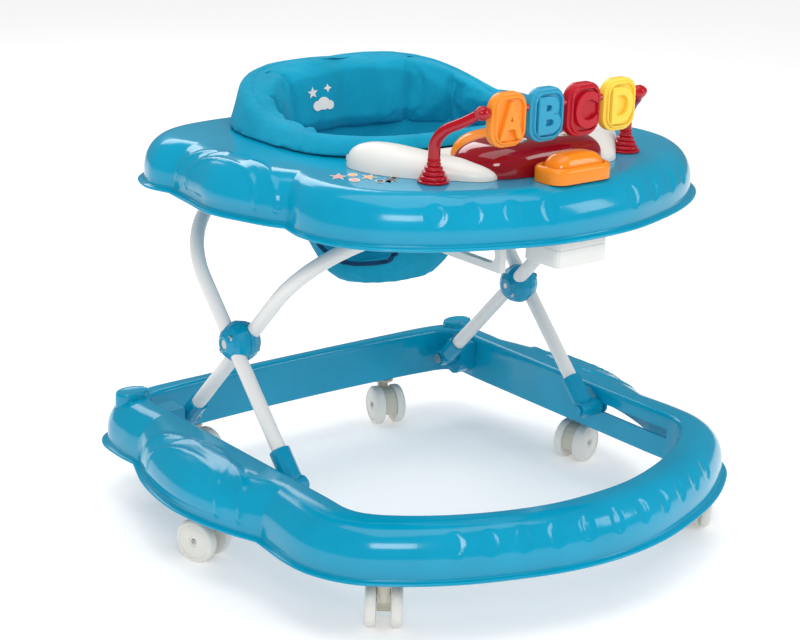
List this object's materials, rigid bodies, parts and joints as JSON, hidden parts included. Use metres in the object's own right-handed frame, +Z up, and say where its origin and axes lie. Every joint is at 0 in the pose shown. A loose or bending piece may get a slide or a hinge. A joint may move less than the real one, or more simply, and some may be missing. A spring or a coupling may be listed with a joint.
{
  "type": "baby walker",
  "caption": "Folding baby walker: castor base ring, scissor legs of bent tube, tray with a hanging fabric seat and a toy bar with spinning beads.",
  "frame": {"origin": "on the floor, under the middle of the base ring", "axes": "+Z up, +Y towards the child's back, -Y the way the child faces, X across"},
  "size_m": [0.624, 0.6, 0.525],
  "materials": {
    "blue_plastic": "glossy moulded",
    "white_plastic": "smooth moulded",
    "castor_plastic": "smooth moulded",
    "castor_hood_plastic": "smooth moulded",
    "white_powder_coat": "satin powder coat",
    "zinc_steel": "zinc plated",
    "teal_fabric": "quilted woven",
    "red_plastic": "glossy",
    "orange_plastic": "glossy",
    "orange_button_plastic": "glossy",
    "sky_plastic": "glossy",
    "yellow_plastic": "glossy",
    "grey_plastic": "satin"
  },
  "bodies": {
    "base": {"base_ring": "blue_plastic", "rear_bracket_right": "blue_plastic", "rear_bracket_left": "blue_plastic", "rear_pivot_pin_right": "zinc_steel", "rear_pivot_pin_left": "zinc_steel"},
    "inner_leg": {"leg_frame_inner": "white_powder_coat", "rear_sleeve_right": "blue_plastic", "rear_sleeve_left": "blue_plastic", "hub_inner_right": "blue_plastic", "hub_inner_left": "blue_plastic", "hub_bolt_right": "zinc_steel", "hub_bolt_left": "zinc_steel"},
    "outer_leg": {"leg_frame_outer": "white_powder_coat", "front_sleeve_right": "blue_plastic", "front_sleeve_left": "blue_plastic", "hub_outer_right": "blue_plastic", "hub_outer_left": "blue_plastic", "slide_pin_right": "blue_plastic", "slide_pin_left": "blue_plastic"},
    "tray_body": {"tray": "blue_plastic", "rear_crossbar_saddle": "white_plastic", "height_rack": "white_plastic", "battery_box": "white_plastic", "battery_cover": "white_plastic", "seat_ring": "blue_plastic", "seat_cuff": "teal_fabric", "seat_sling": "teal_fabric", "backrest_pad": "teal_fabric", "console_base": "white_plastic", "console_dome": "red_plastic", "console_screen": "orange_plastic", "console_nose": "orange_plastic", "toy_post_right": "red_plastic", "toy_post_left": "red_plastic", "toy_rod": "red_plastic"},
    "nose_key": {"nose_button": "orange_button_plastic"},
    "key_right": {"round_button_right": "grey_plastic"},
    "key_left": {"round_button_left": "grey_plastic"},
    "bead_1": {"letter_bead_1": "orange_plastic"},
    "bead_2": {"letter_bead_2": "sky_plastic"},
    "bead_3": {"letter_bead_3": "red_plastic"},
    "bead_4": {"letter_bead_4": "yellow_plastic"},
    "castor_side_right": {"castor_side_right_hood": "castor_hood_plastic"},
    "wheels_side_right": {"castor_side_right_wheel_and_axle": "castor_plastic", "castor_side_right_wheel": "castor_plastic"},
    "castor_side_left": {"castor_side_left_hood": "castor_hood_plastic"},
    "wheels_side_left": {"castor_side_left_wheel_and_axle": "castor_plastic", "castor_side_left_wheel": "castor_plastic"},
    "castor_front_right": {"castor_front_right_hood": "castor_hood_plastic"},
    "wheels_front_right": {"castor_front_right_wheel_and_axle": "castor_plastic", "castor_front_right_wheel": "castor_plastic"},
    "castor_front_left": {"castor_front_left_hood": "castor_hood_plastic"},
    "wheels_front_left": {"castor_front_left_wheel_and_axle": "castor_plastic", "castor_front_left_wheel": "castor_plastic"},
    "castor_rear_right": {"castor_rear_right_hood": "castor_hood_plastic"},
    "wheels_rear_right": {"castor_rear_right_wheel_and_axle": "castor_plastic", "castor_rear_right_wheel": "castor_plastic"},
    "castor_rear_left": {"castor_rear_left_hood": "castor_hood_plastic"},
    "wheels_rear_left": {"castor_rear_left_wheel_and_axle": "castor_plastic", "castor_rear_left_wheel": "castor_plastic"}
  },
  "joints": [
    {"name": "fold", "type": "hinge", "parent": "base", "child": "inner_leg", "pos_m": [0, 0.216, 0.093], "axis": [1, 0, 0], "range_deg": [0, 38]},
    {"name": "hub", "type": "hinge", "parent": "inner_leg", "child": "outer_leg", "pos_m": [0, 0.098, 0.218], "axis": [1, 0, 0], "range_deg": [-76, 0]},
    {"name": "tray_level", "type": "hinge", "parent": "outer_leg", "child": "tray_body", "pos_m": [0, 0.22499, 0.35253], "axis": [1, 0, 0], "range_deg": [0, 38]},
    {"name": "side_right_swivel", "type": "hinge", "parent": "base", "child": "castor_side_right", "pos_m": [-0.26832, 0.045, 0.06], "axis": [0, 0, 1], "continuous": true},
    {"name": "side_right_spin", "type": "hinge", "parent": "castor_side_right", "child": "wheels_side_right", "pos_m": [-0.27242, 0.05628, 0.024], "axis": [-0.9397, -0.342, 0], "continuous": true},
    {"name": "side_left_swivel", "type": "hinge", "parent": "base", "child": "castor_side_left", "pos_m": [0.26832, 0.045, 0.06], "axis": [0, 0, 1], "continuous": true},
    {"name": "side_left_spin", "type": "hinge", "parent": "castor_side_left", "child": "wheels_side_left", "pos_m": [0.25673, 0.04189, 0.024], "axis": [0.2588, -0.9659, 0], "continuous": true},
    {"name": "front_right_swivel", "type": "hinge", "parent": "base", "child": "castor_front_right", "pos_m": [-0.2209, -0.1899, 0.06], "axis": [0, 0, 1], "continuous": true},
    {"name": "front_right_spin", "type": "hinge", "parent": "castor_front_right", "child": "wheels_front_right", "pos_m": [-0.21334, -0.18057, 0.024], "axis": [-0.7771, 0.6293, 0], "continuous": true},
    {"name": "front_left_swivel", "type": "hinge", "parent": "base", "child": "castor_front_left", "pos_m": [0.2209, -0.1899, 0.06], "axis": [0, 0, 1], "continuous": true},
    {"name": "front_left_spin", "type": "hinge", "parent": "castor_front_left", "child": "wheels_front_left", "pos_m": [0.22845, -0.18057, 0.024], "axis": [-0.7771, 0.6293, 0], "continuous": true},
    {"name": "rear_right_swivel", "type": "hinge", "parent": "base", "child": "castor_rear_right", "pos_m": [-0.14352, 0.282, 0.06], "axis": [0, 0, 1], "continuous": true},
    {"name": "rear_right_spin", "type": "hinge", "parent": "castor_rear_right", "child": "wheels_rear_right", "pos_m": [-0.14021, 0.27047, 0.024], "axis": [0.9613, 0.2756, 0], "continuous": true},
    {"name": "rear_left_swivel", "type": "hinge", "parent": "base", "child": "castor_rear_left", "pos_m": [0.14352, 0.282, 0.06], "axis": [0, 0, 1], "continuous": true},
    {"name": "rear_left_spin", "type": "hinge", "parent": "castor_rear_left", "child": "wheels_rear_left", "pos_m": [0.14021, 0.27047, 0.024], "axis": [0.9613, -0.2756, 0], "continuous": true},
    {"name": "bead_1_spin", "type": "hinge", "parent": "tray_body", "child": "bead_1", "pos_m": [-0.07425, -0.173, 0.507], "axis": [1, 0, 0], "continuous": true},
    {"name": "bead_2_spin", "type": "hinge", "parent": "tray_body", "child": "bead_2", "pos_m": [-0.02475, -0.173, 0.507], "axis": [1, 0, 0], "continuous": true},
    {"name": "bead_3_spin", "type": "hinge", "parent": "tray_body", "child": "bead_3", "pos_m": [0.02475, -0.173, 0.507], "axis": [1, 0, 0], "continuous": true},
    {"name": "bead_4_spin", "type": "hinge", "parent": "tray_body", "child": "bead_4", "pos_m": [0.07425, -0.173, 0.507], "axis": [1, 0, 0], "continuous": true},
    {"name": "key_right_press", "type": "slide", "parent": "tray_body", "child": "key_right", "axis": [0, 0, -1], "range_m": [0, 0.003], "stiffness_N_per_m": 300},
    {"name": "key_left_press", "type": "slide", "parent": "tray_body", "child": "key_left", "axis": [0, 0, -1], "range_m": [0, 0.003], "stiffness_N_per_m": 300},
    {"name": "nose_press", "type": "slide", "parent": "tray_body", "child": "nose_key", "axis": [0, 0, -1], "range_m": [0, 0.003], "stiffness_N_per_m": 400}
  ],
  "couplings": [
    {"joint": "hub", "follows": "fold", "ratio": -2},
    {"joint": "tray_level", "follows": "fold", "ratio": 1}
  ]
}
